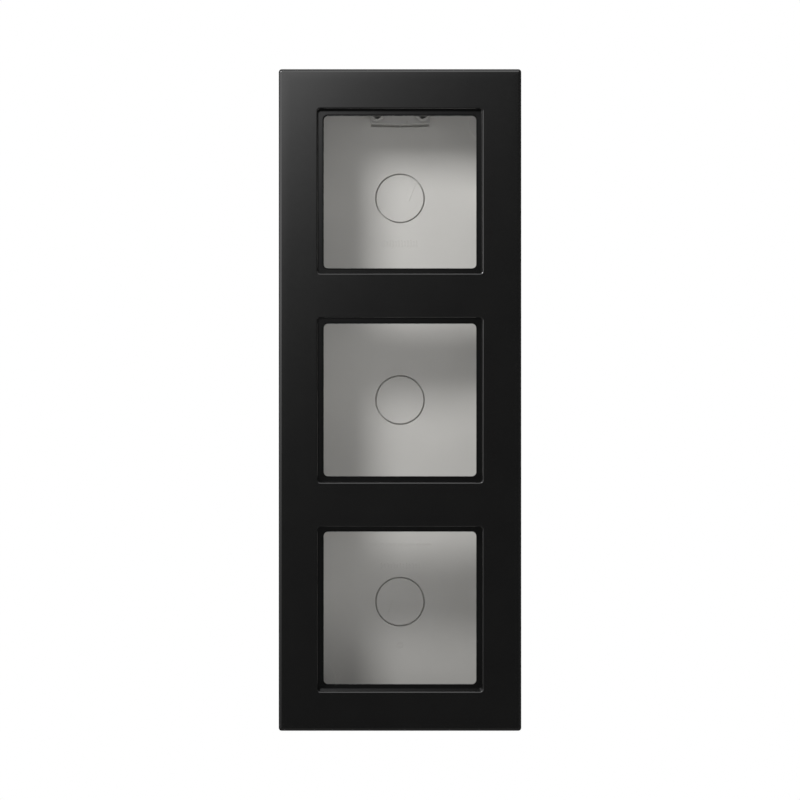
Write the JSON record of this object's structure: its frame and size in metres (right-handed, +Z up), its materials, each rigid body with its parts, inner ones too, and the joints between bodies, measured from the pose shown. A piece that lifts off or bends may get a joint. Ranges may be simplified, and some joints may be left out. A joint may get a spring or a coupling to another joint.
{
  "type": "surface-mounted switch housing with cover frame",
  "caption": "Vertical surface-mounted housing with a flat black cover frame, square windows, a grey base plate with round knock-outs, sliding cable entries and a strain relief.",
  "frame": {"origin": "centre of the base plate's back face, on the wall", "axes": "+Z up along the row of windows, +Y into the wall, so the front faces -Y, and +X to the right seen from the front"},
  "size_m": [0.0824, 0.0475, 0.2248],
  "materials": {
    "frame_black": "lacquered matt graphite black, very fine grain",
    "housing_black": "moulded matt black",
    "entry_black": "moulded matt black",
    "base_grey": "moulded light warm grey, satin",
    "bar_grey": "moulded light warm grey, satin",
    "screw_steel": "zinc-plated"
  },
  "bodies": {
    "base": {"base_plate": "base_grey"},
    "housing": {"housing_shell": "housing_black"},
    "cover": {"cover_frame": "frame_black"},
    "entry_top": {"cable_entry_top": "entry_black"},
    "entry_bottom": {"cable_entry_bottom": "entry_black"},
    "clamp_bar": {"strain_relief_bar": "bar_grey"},
    "clamp_screw_left": {"strain_relief_screw_left": "screw_steel"},
    "clamp_screw_right": {"strain_relief_screw_right": "screw_steel"},
    "screw_left_1": {"device_screw_left_1": "screw_steel"},
    "screw_left_2": {"device_screw_left_2": "screw_steel"},
    "screw_left_3": {"device_screw_left_3": "screw_steel"},
    "screw_right_1": {"device_screw_right_1": "screw_steel"},
    "screw_right_2": {"device_screw_right_2": "screw_steel"},
    "screw_right_3": {"device_screw_right_3": "screw_steel"}
  },
  "joints": [
    {"name": "housing_pull", "type": "slide", "parent": "base", "child": "housing", "axis": [0, -1, 0], "range_m": [0, 0.03]},
    {"name": "cover_pull", "type": "slide", "parent": "housing", "child": "cover", "axis": [0, -1, 0], "range_m": [0, 0.006]},
    {"name": "entry_top_slide", "type": "slide", "parent": "housing", "child": "entry_top", "axis": [0, 1, 0], "range_m": [0, 0.018]},
    {"name": "entry_bottom_slide", "type": "slide", "parent": "housing", "child": "entry_bottom", "axis": [0, 1, 0], "range_m": [0, 0.018]},
    {"name": "clamp_bar_slide", "type": "slide", "parent": "base", "child": "clamp_bar", "axis": [0, -1, 0], "range_m": [0, 0.004]},
    {"name": "clamp_screw_left_turn", "type": "hinge", "parent": "clamp_bar", "child": "clamp_screw_left", "pos_m": [-0.008, -0.0103, 0.1], "axis": [0, -1, 0], "range_deg": [0, 1440]},
    {"name": "clamp_screw_right_turn", "type": "hinge", "parent": "clamp_bar", "child": "clamp_screw_right", "pos_m": [0.008, -0.0103, 0.1], "axis": [0, -1, 0], "range_deg": [0, 1440]},
    {"name": "device_screw_left_1_out", "type": "slide", "parent": "base", "child": "screw_left_1", "axis": [0, -1, 0], "range_m": [0, 0.008]},
    {"name": "device_screw_left_2_out", "type": "slide", "parent": "base", "child": "screw_left_2", "axis": [0, -1, 0], "range_m": [0, 0.008]},
    {"name": "device_screw_left_3_out", "type": "slide", "parent": "base", "child": "screw_left_3", "axis": [0, -1, 0], "range_m": [0, 0.008]},
    {"name": "device_screw_right_1_out", "type": "slide", "parent": "base", "child": "screw_right_1", "axis": [0, -1, 0], "range_m": [0, 0.008]},
    {"name": "device_screw_right_2_out", "type": "slide", "parent": "base", "child": "screw_right_2", "axis": [0, -1, 0], "range_m": [0, 0.008]},
    {"name": "device_screw_right_3_out", "type": "slide", "parent": "base", "child": "screw_right_3", "axis": [0, -1, 0], "range_m": [0, 0.008]}
  ],
  "couplings": [
    {"joint": "clamp_screw_left_turn", "follows": "clamp_bar_slide", "rad_per_m": 6283.2},
    {"joint": "clamp_screw_right_turn", "follows": "clamp_bar_slide", "rad_per_m": 6283.2}
  ]
}
